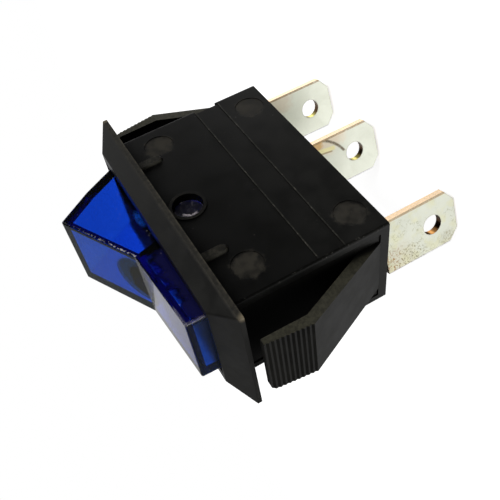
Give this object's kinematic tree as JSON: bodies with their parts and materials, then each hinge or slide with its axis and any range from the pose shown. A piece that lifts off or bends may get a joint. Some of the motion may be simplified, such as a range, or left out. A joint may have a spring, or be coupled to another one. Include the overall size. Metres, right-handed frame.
{
  "type": "rocker switch",
  "caption": "Snap-in panel rocker switch with a translucent blue lit rocker, ribbed snap arms and quick-connect blade terminals.",
  "frame": {"origin": "centre of the bezel's underside, in the plane of the panel's face", "axes": "+Z out of the panel through the rocker, +X along the long side towards the pressed end, +Y across"},
  "size_m": [0.0362, 0.0156, 0.0369],
  "materials": {
    "black_nylon": "satin moulded nylon",
    "blue_rocker": "glossy translucent moulding",
    "natural_nylon": "satin",
    "spring_steel": "bright wire",
    "copper_alloy": "rolled strip",
    "contact_silver": "satin silver",
    "tinned_brass": "tin plate over brass",
    "lamp_glass": "clear glass",
    "resistor_coat": "lacquered",
    "tinned_wire": "bright tin",
    "sleeve_plastic": "matt",
    "solder": "satin"
  },
  "bodies": {
    "housing": {"housing": "black_nylon", "line_terminal": "tinned_brass", "common_terminal": "tinned_brass", "lamp_terminal": "tinned_brass", "fixed_contact_rivet": "contact_silver", "neon_lamp": "lamp_glass", "resistor": "resistor_coat", "lamp_lead_common": "tinned_wire", "lamp_lead_resistor": "tinned_wire", "resistor_lead": "tinned_wire", "lead_sleeve": "sleeve_plastic", "common_solder_joint": "solder", "lamp_solder_joint": "solder"},
    "rocker": {"rocker": "blue_rocker", "plunger_spring": "spring_steel"},
    "plunger": {"plunger": "natural_nylon"},
    "seesaw": {"moving_contact": "copper_alloy", "moving_contact_rivet": "contact_silver"}
  },
  "joints": [
    {"name": "rocker_pivot", "type": "hinge", "parent": "housing", "child": "rocker", "pos_m": [-0.0002, 0, -0.00223], "axis": [0, 1, 0], "range_deg": [-31.6, 0]},
    {"name": "plunger_slide", "type": "slide", "parent": "rocker", "child": "plunger", "axis": [0.2723, 0, 0.9622], "range_m": [0, 0.0005], "stiffness_N_per_m": 150, "deforming": ["plunger_spring"]},
    {"name": "seesaw_tip", "type": "hinge", "parent": "housing", "child": "seesaw", "pos_m": [-0.0002, 0, -0.01198], "axis": [0, 1, 0], "range_deg": [0, 18.1]}
  ],
  "couplings": [
    {"joint": "seesaw_tip", "follows": "rocker_pivot", "ratio": -0.5696}
  ]
}
